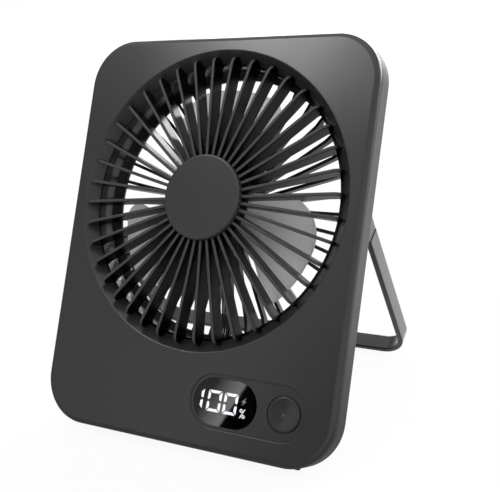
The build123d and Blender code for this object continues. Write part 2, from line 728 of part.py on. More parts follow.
def make_stator_coils():
    hole = tube_outer + PRESS_CLEARANCE
    inner = hole + STATOR_YOKE + COIL_END_GAP
    outer = stator_r - TOOTH_TIP_THICK - AIR_GAP - COIL_END_GAP
    near = magnet_middle - STATOR_LENGTH / 2
    far = magnet_middle + STATOR_LENGTH / 2
    over = COIL_OVERHANG
    coil = block(inner, outer, -COIL_WIDTH / 2, COIL_WIDTH / 2, near - over, far + over)
    coil = fillet(coil.edges().filter_by(Axis.X), over / 2)
    half = TOOTH_WIDTH / 2 + COIL_SLACK
    coil = coil - block(inner, outer, -half, half, near - COIL_SLACK, far + COIL_SLACK)
    return Compound(around(coil, TOOTH_COUNT))


def make_motor_board():
    near = board_front_face
    return ring(MOTOR_BOARD_R, tube_outer + PRESS_CLEARANCE, near, near + MOTOR_BOARD_THICK)


def make_motor_screws():
    fixing = screw(SMALL_SCREW_R, SMALL_HEAD_R, SMALL_HEAD, SMALL_BITE, 0)
    fixing = Pos(MOTOR_SCREW_CIRCLE_R, 0, -motor_flange_front) * Rot(180, 0, 0) * fixing
    return Compound(around(fixing, MOTOR_SCREW_COUNT))


def make_stand():
    """The strap as it lies folded, then swung open about its pins."""
    leg_corner = STRAP_CORNER_R - STRAP_THICK
    outline = upright_rectangle(stand_half, -strap_reach, 0, STRAP_CORNER_R, 0)
    outline = outline - upright_rectangle(leg_inner, STRAP_THICK - strap_reach, strap_reach, leg_corner, 0)
    strap = extrude(Pos(0, 0, -STRAP_WIDTH / 2) * outline, amount=STRAP_WIDTH)
    flats = strap.faces().filter_by(Axis.Z).edges()
    ends = flats.filter_by(lambda e: abs(e.center().Y) < STRAP_EDGE_R / 2)
    strap = fillet(flats - ends, STRAP_EDGE_R)
    for side in (-1, 1):
        knuckle = Rot(0, 90, 0) * Cylinder(STRAP_WIDTH / 2, STRAP_THICK)
        knuckle = fillet(knuckle.edges().filter_by(GeomType.CIRCLE), STRAP_EDGE_R)
        strap = strap + Pos(side * (stand_half - STRAP_THICK / 2)) * knuckle
        hole = Rot(0, 90, 0) * Cylinder(PIN_R + PIN_CLEARANCE, 2 * STRAP_THICK)
        strap = strap - Pos(side * (stand_half - STRAP_THICK / 2)) * hole
        step = Box(2 * TONGUE_STEP, TONGUE_LENGTH + STRAP_WIDTH, 2 * STRAP_WIDTH)
        strap = strap - Pos(side * stand_half, STRAP_WIDTH / 2 - TONGUE_LENGTH / 2, 0) * step
    return Pos(0, pivot_y, -pivot_depth) * Rot(STRAP_OPEN_ANGLE, 0, 0) * strap


def make_hinge_pin(side):
    inner = side * (inside_half - PIN_BOSS_LENGTH)
    outer = side * (groove_half + PIN_BITE - PIN_CLEARANCE)
    return rod(PIN_R, inner, outer, pivot_y, pivot_depth)


def make_hinge_washer(side):
    inner = side * (back_half + WASHER_PLAY)
    outer = side * (back_half + WASHER_PLAY + WASHER_THICK)
    washer = rod(WASHER_R, inner, outer, pivot_y, pivot_depth)
    return washer - rod(PIN_R + PIN_CLEARANCE, inner, outer, pivot_y, pivot_depth)


def foot_blank(side, growth):
    middle = side * foot_x
    half = FOOT_LENGTH / 2 + growth
    low = case_bottom - FOOT_STANDOFF
    high = case_bottom + FOOT_SEAT + growth
    return block(middle - half, middle + half, low, high, FOOT_FRONT_DEPTH - growth, foot_rear + growth)


def make_foot(side):
    below = Pos(0, -case_height / 2, 0) * Box(2 * CASE_WIDTH, case_height, case_height)
    return foot_blank(side, 0) - Pos(0, floor_y, floor_z) * Rot(lean, 0, 0) * below


def make_display_window():
    outline = Pos(window_x, control_y) * SlotOverall(WINDOW_LENGTH, WINDOW_HEIGHT)
    return plate(outline, window_front, window_rear)


def make_window_tape():
    inset = 2 * TAPE_INSET
    outline = Pos(window_x, control_y) * SlotOverall(WINDOW_LENGTH - inset, WINDOW_HEIGHT - inset)
    return plate(outline - module_outline(MODULE_CLEARANCE), window_rear, tape_rear)


def module_outline(growth):
    size = (MODULE_LENGTH + 2 * growth, MODULE_HEIGHT + 2 * growth, MODULE_CORNER_R + growth)
    return Pos(window_x, control_y) * RectangleRounded(*size)


def make_display_module():
    """A face plate that fills the window's opening, and a lower body behind it down to the board."""
    face = plate(module_outline(0), tape_rear, PARTING_DEPTH)
    half = MODULE_LENGTH / 2 - MODULE_BODY_INSET
    low = control_y - MODULE_BODY_HEIGHT / 2
    high = low + MODULE_BODY_HEIGHT
    return face + block(window_x - half, window_x + half, low, high, PARTING_DEPTH, BOARD_DEPTH)


def make_power_button():
    cap = disc(BUTTON_R, 0, button_rear)
    cap = fillet(cap.faces().sort_by(Axis.Z)[-1].edges(), BUTTON_EDGE_R)
    dish_ball = (BUTTON_DISH_R ** 2 + BUTTON_DISH_DEPTH ** 2) / (2 * BUTTON_DISH_DEPTH)
    cap = cap - Pos(0, 0, dish_ball - BUTTON_DISH_DEPTH) * Sphere(dish_ball)
    flange_rear = button_rear + BUTTON_FLANGE_THICK
    cap = cap + disc(BUTTON_R + BUTTON_FLANGE, button_rear, flange_rear)
    cap = cap + disc(BUTTON_NUB_R, flange_rear, plunger_front - CONTACT_PLAY)
    return Pos(button_x, control_y) * cap


def make_tact_switch():
    half = SWITCH_SIZE / 2
    body = block(-half, half, -half, half, switch_front, BOARD_DEPTH)
    well = PLUNGER_SUNK + BUTTON_TRAVEL + CONTACT_PLAY
    body = body - disc(PLUNGER_R + PLUNGER_CLEARANCE, switch_front, switch_front + well)
    return Pos(button_x, control_y) * body


def make_switch_plunger():
    return Pos(button_x, control_y) * disc(PLUNGER_R, plunger_front, switch_front + PLUNGER_SUNK)


def make_main_board():
    board = block(board_left, board_right, board_bottom, board_top, BOARD_DEPTH, board_rear)
    for x, y in post_places:
        board = board - Pos(x, y) * disc(SMALL_SCREW_R + SCREW_CLEARANCE, BOARD_DEPTH, board_rear)
    return board


def make_usb_socket():
    rear = BACK_DEPTH - USB_SETBACK
    shell = plate(SlotOverall(USB_LENGTH, USB_HEIGHT), board_rear, rear)
    mouth = SlotOverall(USB_LENGTH - 2 * USB_WALL, USB_HEIGHT - 2 * USB_WALL)
    shell = shell - plate(mouth, board_rear + USB_FLOOR, rear)
    return Pos(usb_x, usb_y) * shell


def make_usb_tongue():
    half = USB_LENGTH / 2 - USB_WALL - USB_TONGUE_MARGIN
    rear = BACK_DEPTH - USB_SETBACK - USB_TONGUE_MARGIN
    half_thick = USB_TONGUE_THICK / 2
    tongue = block(-half, half, -half_thick, half_thick, board_rear + USB_FLOOR, rear)
    return Pos(usb_x, usb_y) * tongue


def make_plug(top):
    half = PLUG_WIDTH / 2
    return block(plug_x - half, plug_x + half, top - PLUG_LENGTH, top, board_rear, board_rear + PLUG_HEIGHT)


def make_board_chips():
    chips = []
    for k in range(2):
        y = board_top - BOARD_SCREW_INSET - CHIP_WIDTH - CHIP_PITCH * k
        chip = Rectangle(CHIP_LENGTH, CHIP_WIDTH)
        chips.append(plate(Pos(chip_x, y) * chip, board_rear, board_rear + CHIP_THICK))
    return Compound(chips)


def make_board_inductor():
    body = plate(RectangleRounded(INDUCTOR_SIZE, INDUCTOR_SIZE, INDUCTOR_SIZE / 5), 0, INDUCTOR_HEIGHT)
    return Pos(inductor_x, usb_y, -board_rear) * body


def make_board_screws():
    fixing = screw(SMALL_SCREW_R, SMALL_HEAD_R, SMALL_HEAD, SMALL_BITE, board_rear)
    return Compound([Pos(x, y) * fixing for x, y in post_places])


def make_case_screws():
    seat = BOSS_END_DEPTH + SCREW_SEAT
    fixing = screw(CASE_SCREW_R, CASE_SCREW_HEAD_R, CASE_SCREW_HEAD, CASE_SCREW_BITE, seat)
    return Compound([Pos(x, y) * fixing for x, y in screw_places])


def make_battery_cell():
    low = battery_middle_y - BATTERY_HEIGHT / 2
    cell = block(battery_left, battery_right, low, low + BATTERY_HEIGHT, pad_rear, pad_rear + BATTERY_THICK)
    return fillet(cell.edges().filter_by(Axis.X), BATTERY_EDGE_R)


def make_battery_pad():
    low = battery_middle_y - BATTERY_HEIGHT / 2 + PAD_MARGIN
    left = battery_left + PAD_MARGIN
    high = low + BATTERY_HEIGHT - 2 * PAD_MARGIN
    return block(left, battery_right - PAD_MARGIN, low, high, FRONT_WALL, pad_rear)


def make_battery_leads():
    """Two leads from the cell's end to the side of their plug."""
    plug_left = plug_x - PLUG_WIDTH / 2
    step = (plug_left - battery_right) / 3
    leads = []
    for k in (-1, 1):
        high = battery_middle_y + k * WIRE_PITCH
        low = battery_plug_top - PLUG_LENGTH / 2 + k * WIRE_PITCH
        leads.append(wire([
            (battery_right, high, -plug_wire_depth),
            (battery_right + step, high, -plug_wire_depth),
            (plug_left - step, low, -plug_wire_depth),
            (plug_left, low, -plug_wire_depth),
        ]))
    return Compound(leads)


def make_motor_leads():
    """Three leads from the motor's board, down past the impeller and forward to their plug."""
    half_way = (wire_depth + plug_wire_depth) / 2
    leads = []
    for k in (-1, 0, 1):
        x = plug_x + k * WIRE_PITCH
        leads.append(wire([
            (k * WIRE_PITCH, -MOTOR_BOARD_R / 2, -wire_depth),
            (x, wire_bend_y, -wire_depth),
            (x, -duct_outer, -half_way),
            (x, motor_plug_top + PLUG_RUN_IN, -plug_wire_depth),
            (x, motor_plug_top, -plug_wire_depth),
        ]))
    return Compound(leads)


nodes = {
    "front_cover": make_front_cover(),
    "front_grille": make_front_grille(),
    "grille_cap": make_grille_cap(),
    "rear_cover": make_rear_cover(),
    "rear_grille": make_rear_grille(),
    "impeller": make_impeller(),
    "rotor_can": make_rotor_can(),
    "rotor_magnet": make_rotor_magnet(),
    "motor_shaft": make_motor_shaft(),
    "shaft_clip": make_shaft_clip(),
    "motor_base": make_motor_base(),
    "front_bush": make_bush(tube_front),
    "rear_bush": make_bush(rear_bush_end - BUSH_LENGTH),
    "stator_core": make_stator_core(),
    "stator_coils": make_stator_coils(),
    "motor_board": make_motor_board(),
    "motor_screws": make_motor_screws(),
    "motor_leads": make_motor_leads(),
    "stand": make_stand(),
    "hinge_pin_left": make_hinge_pin(-1),
    "hinge_pin_right": make_hinge_pin(1),
    "hinge_washer_left": make_hinge_washer(-1),
    "hinge_washer_right": make_hinge_washer(1),
    "foot_left": make_foot(-1),
    "foot_right": make_foot(1),
    "display_window": make_display_window(),
    "window_tape": make_window_tape(),
    "display_module": make_display_module(),
    "power_button": make_power_button(),
    "tact_switch": make_tact_switch(),
    "switch_plunger": make_switch_plunger(),
    "main_board": make_main_board(),
    "board_screws": make_board_screws(),
    "board_chips": make_board_chips(),
    "board_inductor": make_board_inductor(),
    "motor_plug": make_plug(motor_plug_top),
    "battery_plug": make_plug(battery_plug_top),
    "usb_socket": make_usb_socket(),
    "usb_tongue": make_usb_tongue(),
    "battery_cell": make_battery_cell(),
    "battery_pad": make_battery_pad(),
    "battery_leads": make_battery_leads(),
    "case_screws": make_case_screws(),
}

# Lean the fan back, set it on the floor and centre it front to back.
leaned = {name: Rot(90 - lean, 0, 0) * shape for name, shape in nodes.items()}
boxes = [shape.bounding_box() for shape in leaned.values()]
middle_y = (min(b.min.Y for b in boxes) + max(b.max.Y for b in boxes)) / 2
stand_place = Pos(0, -middle_y, -floor_height)
os.makedirs("parts", exist_ok=True)
for name, shape in leaned.items():
    export_step(stand_place * shape, f"parts/{name}.step")


def in_row(x, y, depth):
    """A point of the working frame as the part stands, in millimetres."""
    tilt = radians(lean)
    back = y * sin(tilt) + depth * cos(tilt) - middle_y
    up = y * cos(tilt) - depth * sin(tilt) - floor_height
    return tuple(round(v, 3) for v in (x, back, up))


front_normal = (0, round(-cos(radians(lean)), 6), round(sin(radians(lean)), 6))
print("lean", round(lean, 4), "front normal", front_normal)
print("fan axis point", in_row(0, 0, 0))
print("strap pivot", in_row(0, pivot_y, pivot_depth))
print("button", in_row(button_x, control_y, 0))
print("usb mouth", in_row(usb_x, usb_y, BACK_DEPTH - USB_SETBACK))
print("foot flat", in_row(foot_x, floor_y, -floor_z))
print("back face", in_row(0, back_bottom, BACK_DEPTH))
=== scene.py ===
# %% [markdown]
# A slim desk fan leans back on a folding strap. Its solids come from CAD and keep their shapes and places.
# This lesson dresses them: it sets the camera and the studio, writes each material from what the real one is,
# and adds the lit digits and signs of the display, which are too thin to be worth a solid.

import json

import bpy
import numpy as np
from mathutils import Matrix, Vector


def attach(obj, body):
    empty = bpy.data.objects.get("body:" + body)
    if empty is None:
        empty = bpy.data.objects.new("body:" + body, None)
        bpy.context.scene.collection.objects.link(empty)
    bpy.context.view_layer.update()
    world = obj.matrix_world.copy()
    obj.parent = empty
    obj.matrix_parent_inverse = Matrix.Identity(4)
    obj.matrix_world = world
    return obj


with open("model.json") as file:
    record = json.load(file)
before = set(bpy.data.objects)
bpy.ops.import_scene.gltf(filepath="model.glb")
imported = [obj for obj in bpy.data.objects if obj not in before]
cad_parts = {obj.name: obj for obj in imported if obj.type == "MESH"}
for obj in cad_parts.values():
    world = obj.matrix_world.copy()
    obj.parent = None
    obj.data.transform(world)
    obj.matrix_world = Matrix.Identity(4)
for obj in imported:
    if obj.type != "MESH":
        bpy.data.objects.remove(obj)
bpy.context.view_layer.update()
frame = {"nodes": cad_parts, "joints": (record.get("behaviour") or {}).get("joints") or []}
nodes = frame["nodes"]
scene = bpy.context.scene
MM = 0.001

# %% [markdown]
# The front panel leans back, so a mark on it is easiest to place in the panel's own directions: right, up
# along the panel and out of it. The fan's spindle gives all three. Its joint in the record holds the point
# where the axis leaves the front face and the way that the face looks, and one cross product does the rest.

# %% Directions of the front panel
spindle = next(joint for joint in frame["joints"] if joint["name"] == "fan_spin")
panel_middle = np.array(spindle["pos_m"])
panel_out = np.array(spindle["axis"])
panel_right = np.array([1.0, 0.0, 0.0])
panel_up = np.cross(panel_out, panel_right)
panel_axes = np.stack([panel_right, panel_up, panel_out])


def on_panel(points):
    """Row-frame metres of an (n, 3) array of panel points in mm: middle + right * x + up * y + out * z."""
    return panel_middle + MM * (np.asarray(points, float) @ panel_axes)


def along_panel(direction):
    """Row-frame direction of length one: right * x + up * y + out * z."""
    turned = np.asarray(direction, float) @ panel_axes
    return turned / np.linalg.norm(turned)


print("panel leans back", round(float(np.degrees(np.arcsin(panel_out[2]))), 1), "degrees")

# %% [markdown]
# The camera stands at the front right of the fan, somewhat higher than its top, and is tipped sideways by a few
# degrees, as it was held for the picture. Its place was solved from the outlines of the case and of the round
# opening, so it is written in the panel's own directions: a point in mm, where it looks and which way is up.
# The picture is a crop whose middle lies above the lens axis, and the shift takes up that crop.

# %% Camera
CAMERA_PLACE = (186.6, -47.2, 297.7)
CAMERA_LOOKS = (-0.4771, 0.0630, -0.8766)
CAMERA_UP = (-0.0894, 0.9888, 0.1197)
SENSOR_WIDTH, LENS = 36.0, 61.72
CROP_SHIFT = 0.04
NEAREST = 0.01

looks = along_panel(CAMERA_LOOKS)
camera_right = np.cross(looks, along_panel(CAMERA_UP))
camera_right /= np.linalg.norm(camera_right)
camera_top = np.cross(camera_right, looks)
placed = np.eye(4)
placed[:3] = np.column_stack([camera_right, camera_top, -looks, on_panel([CAMERA_PLACE])[0]])

camera_data = bpy.data.cameras.new("camera")
camera_data.sensor_fit = "HORIZONTAL"
camera_data.sensor_width = SENSOR_WIDTH
camera_data.lens = LENS
camera_data.shift_y = CROP_SHIFT
camera_data.clip_start = NEAREST
camera = bpy.data.objects.new("camera", camera_data)
camera.matrix_world = Matrix(placed.tolist())
scene.collection.objects.link(camera)
scene.camera = camera
print("camera", round(float(np.linalg.norm(CAMERA_PLACE)), 1), "mm from the middle of the grille")

# %% [markdown]
# Every material below is a small graph of nodes. One helper adds a node, sets its attributes and fills its
# sockets with either a number or another node's output, so each graph reads as a list. Colours are written
# as sRGB hex, as a paint chart gives them, and turned to the linear values that light is added in.

# %% Colours and nodes
def linear(hex_colour):
    """Linear RGBA of an sRGB hex colour: v / 12.92 below 0.04045, else ((v + 0.055) / 1.055) ** 2.4."""
    srgb = np.array([int(hex_colour[i:i + 2], 16) for i in (1, 3, 5)]) / 255
    rgb = np.where(srgb <= 0.04045, srgb / 12.92, ((srgb + 0.055) / 1.055) ** 2.4)
    return (*(float(v) for v in rgb), 1.0)


def add(tree, kind, sockets=None, **settings):
    """One shader node with its settings; sockets maps an input's name or number to a value or an output."""
    made = tree.nodes.new("ShaderNode" + kind)
    for name, value in settings.items():
        setattr(made, name, value)
    for name, value in (sockets or {}).items():
        if isinstance(value, bpy.types.NodeSocket):
            tree.links.new(value, made.inputs[name])
        else:
            made.inputs[name].default_value = value
    return made


def start(name):
    """A new empty material's tree, and the point on the piece in metres as its first output."""
    material = bpy.data.materials.new(name)
    material.use_nodes = True
    material.node_tree.nodes.clear()
    return material.node_tree, add(material.node_tree, "TexCoord").outputs["Object"]


def finish_with(tree, shader):
    """Wires the shader's first output to the material's surface."""
    add(tree, "OutputMaterial", {"Surface": shader.outputs[0]})


def per_mm(size):
    """Texture scale, in features per metre, for a feature of that many millimetres."""
    return 1.0 / (size * MM)


print("black", linear("#000000")[:3], "mid grey", [round(v, 3) for v in linear("#808080")[:3]])

# %% [markdown]
# The studio is a dim room. A satin dark plastic is mostly what it mirrors, so the room matters more than the
# lamps: the front face mirrors the dim room behind the camera and stays dark, its upper part catches a bright
# ceiling, a white sweep behind the fan brightens what turns that way, and a pale wall on the right lifts what
# turns towards it. Each of these is a soft round glow: the dot product of a direction with the glow's middle
# runs from where the glow begins to where it is full. Sockets 1 to 4 of a Map Range node are the range that
# comes in and the range that goes out.

# %% Glows of the room
ROOM_GLOWS = {  # the middle of each, the dot products where it begins and is full, and its brightness
    "ceiling": ((-0.22, 0.08, 0.97), 0.60, 0.97, 0.90),
    "sweep": ((0.55, 0.83, 0.0), 0.60, 0.95, 0.40),
    "right_wall": ((0.75, -0.51, 0.41), 0.20, 1.00, 0.48),
}
world = bpy.data.worlds.new("studio_room")
world.use_nodes = True
room = world.node_tree
room.nodes.clear()
toward = add(room, "TexCoord").outputs["Generated"]
glows = []
for middle, begins, full, brightness in ROOM_GLOWS.values():
    facing = add(room, "VectorMath", {0: toward, 1: middle}, operation="DOT_PRODUCT").outputs["Value"]
    glows.append(add(
        room, "MapRange", {"Value": facing, 1: begins, 2: full, 3: 0.0, 4: brightness},
        interpolation_type="SMOOTHSTEP").outputs[0])
print("glows", list(ROOM_GLOWS))

# %% [markdown]
# The polished window mirrors a soft box with a clear edge. The edge lies in a plane through the camera's mirror
# image and two points of the window, so one cross product gives it, and how far a direction lies beyond that
# plane gives the soft box its bright border and its fall-off. The box reaches only a little way round the
# middle of that edge, and the dim walls take over from there.

# %% Soft box in the window
BOX_EDGE_ON_WINDOW = np.array([(29.7, -73.0, 0.0), (20.4, -90.1, 0.0)])
HALF_BORDER = 0.0015
FALL_OFF = 0.030
BRIGHT_EDGE, DIM_INSIDE = 4.2, 0.55
BOX_BEGINS, BOX_FULL = 0.95, 0.98
WALL_LEVEL = 0.28

mirrored_camera = np.array(CAMERA_PLACE) * (1, 1, -1)
sight = BOX_EDGE_ON_WINDOW - mirrored_camera
beyond_edge = tuple(along_panel(np.cross(sight[1], sight[0])))
box_middle = tuple(along_panel(sight.sum(axis=0)))

across = add(room, "VectorMath", {0: toward, 1: beyond_edge}, operation="DOT_PRODUCT").outputs["Value"]
fading = add(room, "MapRange", {"Value": across, 1: 0.0, 2: FALL_OFF, 3: BRIGHT_EDGE, 4: DIM_INSIDE})
border = add(room, "MapRange", {"Value": across, 1: -HALF_BORDER, 2: HALF_BORDER, 3: 0.0, 4: 1.0})
near_box = add(room, "VectorMath", {0: toward, 1: box_middle}, operation="DOT_PRODUCT").outputs["Value"]
reach = add(
    room, "MapRange", {"Value": near_box, 1: BOX_BEGINS, 2: BOX_FULL, 3: 0.0, 4: 1.0},
    interpolation_type="SMOOTHSTEP").outputs[0]
edge_light = add(room, "Math", {0: fading.outputs[0], 1: border.outputs[0]}, operation="MULTIPLY")
box_light = add(room, "Math", {0: edge_light.outputs[0], 1: reach}, operation="MULTIPLY")
walls = add(room, "MapRange", {"Value": reach, 3: WALL_LEVEL, 4: 0.0})
print("box edge seen along", [round(v, 2) for v in box_middle])

# %% [markdown]
# All of these add up to what the plastic mirrors and is lit by. The camera, and what it sees through the clear
# window, get plain white in place of the room, as on a white page.

# %% Room as a world
level = box_light.outputs[0]
for light in (walls.outputs[0], *glows):
    level = add(room, "Math", {0: light, 1: level}, operation="ADD").outputs[0]
rays = add(room, "LightPath").outputs
seen = add(room, "Math", {0: rays["Is Camera Ray"], 1: rays["Is Transmission Ray"]}, operation="MAXIMUM")
strength = add(room, "Mix", {"Factor": seen.outputs[0], 2: level, 3: 1.0}, data_type="FLOAT")
background = add(room, "Background", {"Color": (1.0, 1.0, 1.0, 1.0), "Strength": strength.outputs[0]})
add(room, "OutputWorld", {"Surface": background.outputs[0]})
scene.world = world
scene.view_settings.view_transform = "Standard"
print("room nodes", len(room.nodes))

# %% [markdown]
# The floor is a pale sheet. For the camera it is almost fully white by itself and takes only a little of its
# brightness from the lamps, so that it joins the white background and still keeps a faint contact shadow. In
# the plastic's reflections it is dim in front of the fan and bright behind it, where the light comes from.

# %% Floor
FLOOR_HALF = 2.0
OWN_WHITE = 0.93
FRONT_Y, BACK_Y = -0.05, 0.12
FRONT_MIRRORED, BACK_MIRRORED = 0.20, 0.85

floor_mesh = bpy.data.meshes.new("floor")
corners = FLOOR_HALF * np.array([(-1, -1, 0), (1, -1, 0), (1, 1, 0), (-1, 1, 0)], float)
floor_mesh.from_pydata(corners.tolist(), [], [(0, 1, 2, 3)])
floor = bpy.data.objects.new("floor", floor_mesh)
scene.collection.objects.link(floor)
tree, place = start("white_floor_sheet")
rays = add(tree, "LightPath").outputs
seen = add(tree, "Math", {0: rays["Is Camera Ray"], 1: rays["Is Transmission Ray"]}, operation="MAXIMUM")
straight = add(tree, "Math", {0: seen.outputs[0], 1: rays["Is Glossy Ray"]}, operation="MAXIMUM")
sheet = add(tree, "BsdfDiffuse", {"Color": linear("#efefef")})
back = add(tree, "SeparateXYZ", {0: place}).outputs["Y"]
mirrored = add(
    tree, "MapRange", {"Value": back, 1: FRONT_Y, 2: BACK_Y, 3: FRONT_MIRRORED, 4: BACK_MIRRORED},
    interpolation_type="SMOOTHSTEP")
shine = add(tree, "Mix", {"Factor": rays["Is Glossy Ray"], 2: 1.0, 3: mirrored.outputs[0]}, data_type="FLOAT")
own_light = add(tree, "Emission", {"Color": linear("#ffffff"), "Strength": shine.outputs[0]})
own_share = add(tree, "Math", {0: straight.outputs[0], 1: OWN_WHITE}, operation="MULTIPLY")
finish_with(tree, add(tree, "MixShader", {
    0: own_share.outputs[0], 1: sheet.outputs[0], 2: own_light.outputs[0]}))
floor_mesh.materials.append(bpy.data.materials["white_floor_sheet"])
print("floor", FLOOR_HALF * 2, "m square")

# %% [markdown]
# Three soft boxes light it. The key hangs high at the front left and is small, so the satin face mirrors it as a
# sheen at its upper right. A tall strip on the right lights the side wall and the strap, and a wide box low
# behind the fan shines through the rear grille, so that the thin blades glow between the dark ribs. Each box
# faces the hub.

# %% Soft boxes
SOFT_BOXES = {  # place, then width and height, in metres, and watts
    "key_box": ((-0.54, -0.50, 1.10), (0.27, 0.27), 2.6),
    "side_strip": ((0.95, 0.45, 0.45), (0.25, 0.9), 0.8),
    "back_box": ((0.20, 0.90, 0.34), (1.8, 0.55), 22.0),
}
for name, (stands, size, watts) in SOFT_BOXES.items():
    lamp = bpy.data.lights.new(name, "AREA")
    lamp.shape = "RECTANGLE"
    lamp.size, lamp.size_y = size
    lamp.energy = watts
    turn = (Vector(panel_middle) - Vector(stands)).to_track_quat("-Z", "Y")
    soft_box = bpy.data.objects.new(name, lamp)
    soft_box.matrix_world = Matrix.Translation(stands) @ turn.to_matrix().to_4x4()
    scene.collection.objects.link(soft_box)
print("soft boxes", list(SOFT_BOXES))

# %% [markdown]
# The case is ABS, moulded in a spark-eroded tool, which leaves a fine even grain that scatters reflections
# into a satin sheen. The grain is about 0.1 mm on the real part. That is far below a pixel here, so it is
# drawn at 0.5 mm. Slow drifts in gloss, tens of millimetres wide, come from how the melt met the tool. The
# button and the black ribs at the back need no more than that.

# %% Satin plastics
DRIFT_SIZE = 35
GRAIN_SIZE, GRAIN_DEPTH = 0.5, 0.02
NOISE_LOW, NOISE_HIGH = 0.3, 0.7  # a noise texture rarely leaves this range
PLASTIC_IOR = 1.53


def satin_plastic(name, dark, light, roughness, spread, grain, shine):
    """Moulded plastic: colour and gloss drift slowly, with a fine grain as bump; shine scales what it mirrors."""
    tree, place = start(name)
    drift = add(tree, "TexNoise", {
        "Vector": place, "Scale": per_mm(DRIFT_SIZE), "Detail": 3.0, "Roughness": 0.55}).outputs["Fac"]
    colour = add(tree, "Mix", {"Factor": drift, 6: linear(dark), 7: linear(light)}, data_type="RGBA").outputs[2]
    gloss = add(tree, "MapRange", {
        "Value": drift, 1: NOISE_LOW, 2: NOISE_HIGH, 3: roughness - spread, 4: roughness + spread})
    speck = add(tree, "TexNoise", {"Vector": place, "Scale": per_mm(GRAIN_SIZE), "Detail": 2.0})
    relief = add(tree, "Bump", {
        "Height": speck.outputs["Fac"], "Strength": grain, "Distance": GRAIN_DEPTH * MM})
    shader = add(tree, "BsdfPrincipled", {
        "Base Color": colour, "Roughness": gloss.outputs[0], "Normal": relief.outputs[0],
        "IOR": PLASTIC_IOR, "Specular IOR Level": shine})
    return tree, shader, colour, drift


for finish in (
        ("satin_abs_button", "#2a2a2b", "#2e2e2f", 0.23, 0.02, 0.15, 0.5),
        ("black_abs_rear_ribs", "#08080a", "#0d0d0e", 0.30, 0.03, 0.15, 0.3)):
    tree, shader, *_ = satin_plastic(*finish)
    finish_with(tree, shader)
    print(finish[0], "nodes", len(tree.nodes))

# %% [markdown]
# The strap is nylon filled with glass fibre, stiff enough for a thin leg. Ends of fibres at its skin scatter
# light that grazes it, so it looks paler where it turns away. That is a sheen, two numbers on the shader.

# %% Glass-filled nylon of the strap
tree, shader, *_ = satin_plastic("glass_filled_nylon_strap", "#1a1a1b", "#202021", 0.30, 0.06, 0.3, 0.6)
shader.inputs["Sheen Weight"].default_value = 0.7
shader.inputs["Sheen Roughness"].default_value = 0.35
finish_with(tree, shader)
print("strap nodes", len(tree.nodes))

# %% [markdown]
# The shell is grey. The wall of its round duct, behind the bevel, is the same plastic lying in deep shade, and
# that shade is painted on it as near black. A spot lies on that wall when it is both near enough to the spindle
# and between 4.5 and 10.7 mm deep: the length of a cross product gives the one, a dot product the other.

# %% Grey shell with painted shade in its duct
DUCT_REACH = 59.0 * MM
DUCT_MIDDLE = -7.6 * MM
DUCT_HALF = 3.1 * MM
out = tuple(panel_out)

tree, shader, colour, _ = satin_plastic("satin_abs_shell", "#2c2c2d", "#303031", 0.23, 0.02, 0.2, 0.5)
spot = add(tree, "TexCoord").outputs["Object"]
from_hub = add(tree, "VectorMath", {0: spot, 1: tuple(panel_middle)}, operation="SUBTRACT").outputs[0]
height = add(tree, "VectorMath", {0: from_hub, 1: out}, operation="DOT_PRODUCT").outputs["Value"]
around = add(tree, "VectorMath", {0: from_hub, 1: out}, operation="CROSS_PRODUCT").outputs[0]
radius = add(tree, "VectorMath", {0: around}, operation="LENGTH").outputs["Value"]
near = add(tree, "Math", {0: radius, 1: DUCT_REACH}, operation="LESS_THAN")
deep = add(tree, "Math", {0: height, 1: DUCT_MIDDLE, 2: DUCT_HALF}, operation="COMPARE")
duct_shade_share = add(tree, "Math", {0: near.outputs[0], 1: deep.outputs[0]}, operation="MULTIPLY")
# Painted shade: where light hardly reaches the duct wall, its grey is replaced by near black (#050506).
painted_shade_mix = add(tree, "Mix", {
    "Factor": duct_shade_share.outputs[0], 6: colour, 7: linear("#050506")}, data_type="RGBA")
tree.links.new(painted_shade_mix.outputs[2], shader.inputs["Base Color"])
finish_with(tree, shader)
print("shell nodes", len(tree.nodes))

# %% [markdown]
# The ribs are the satin plastic of the shell. Their front edges are painted a lighter grey than the shell, a
# painted highlight for the light that they catch. Their flanks and the rim that joins them, deep in the opening,
# are painted near black, as painted shade. Which of the two a spot gets depends on how far it faces forward and
# on how deep it lies: one dot product of the surface's own direction with the spindle tells edges from flanks,
# and one of the spot's place with the spindle tells the ribs from the rim, 4.5 mm deep.

# %% Rib edges with painted highlight, flanks and rim in painted shade
FLANK_FACES, EDGE_FACES = 0.35, 0.80
RIM_HEIGHT, RIB_HEIGHT = -4.3 * MM, -2.5 * MM

# Painted highlight: the edge grey #424243 is lighter than the shell's #2c2c2d, for the light the edges catch.
tree, shader, colour, _ = satin_plastic("satin_abs_ribs", "#424243", "#4a4a4b", 0.27, 0.03, 0.15, 0.15)
spot = add(tree, "TexCoord").outputs
forward = add(tree, "VectorMath", {0: spot["Normal"], 1: out}, operation="DOT_PRODUCT").outputs["Value"]
height = add(tree, "VectorMath", {0: spot["Object"], 1: out}, operation="DOT_PRODUCT").outputs["Value"]
face_height = float(panel_middle @ panel_out)
above_rim = add(tree, "MapRange", {
    "Value": height, 1: face_height + RIM_HEIGHT, 2: face_height + RIB_HEIGHT})
facing = add(tree, "MapRange", {"Value": forward, 1: FLANK_FACES, 2: EDGE_FACES})
edge_highlight_share = add(tree, "Math", {0: facing.outputs[0], 1: above_rim.outputs[0]}, operation="MULTIPLY")
# Painted shade: the flanks and the deep rim get near black (#020203) in place of the edge grey.
painted_shade_mix = add(tree, "Mix", {
    "Factor": edge_highlight_share.outputs[0], 6: linear("#020203"), 7: colour}, data_type="RGBA")
tree.links.new(painted_shade_mix.outputs[2], shader.inputs["Base Color"])
finish_with(tree, shader)
print("rib nodes", len(tree.nodes))

